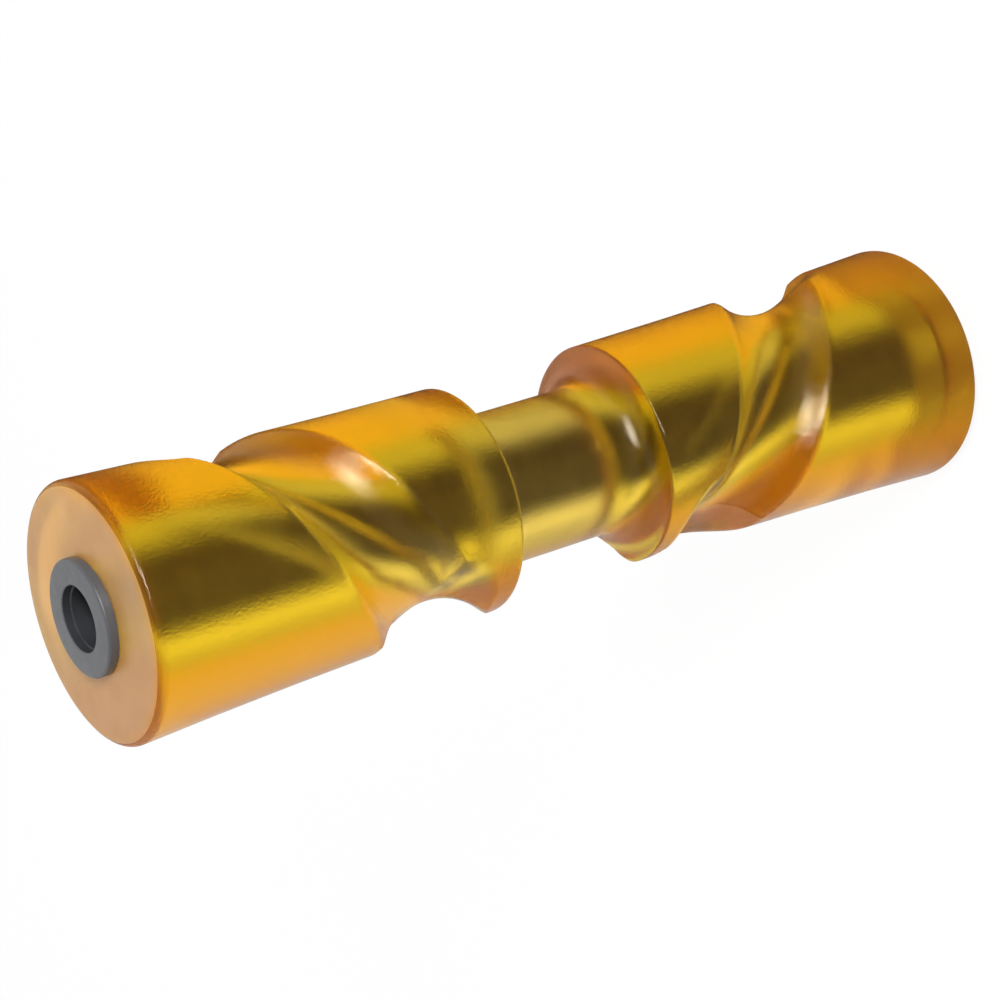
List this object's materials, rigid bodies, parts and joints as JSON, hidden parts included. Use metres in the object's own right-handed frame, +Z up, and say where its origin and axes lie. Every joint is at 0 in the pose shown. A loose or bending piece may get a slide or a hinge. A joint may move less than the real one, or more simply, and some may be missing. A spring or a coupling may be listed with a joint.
{
  "type": "boat trailer roller",
  "caption": "Self-centring keel roller: translucent amber polyurethane body with a waist and opposed helical grooves, on a steel core tube with flanged bushes.",
  "frame": {"origin": "centre of the lower bush's outer face, on which the roller stands on its end", "axes": "+Z up along the roller's axis; -Y is the side that faces the viewer of the picture"},
  "size_m": [0.075, 0.075, 0.3016],
  "materials": {
    "polyurethane": "translucent amber, satin cast surface",
    "steel": "plated, satin",
    "nylon": "dark grey, satin"
  },
  "bodies": {
    "root": {"roller_body": "polyurethane", "core_tube": "steel", "upper_bush": "nylon", "lower_bush": "nylon"}
  },
  "joints": []
}
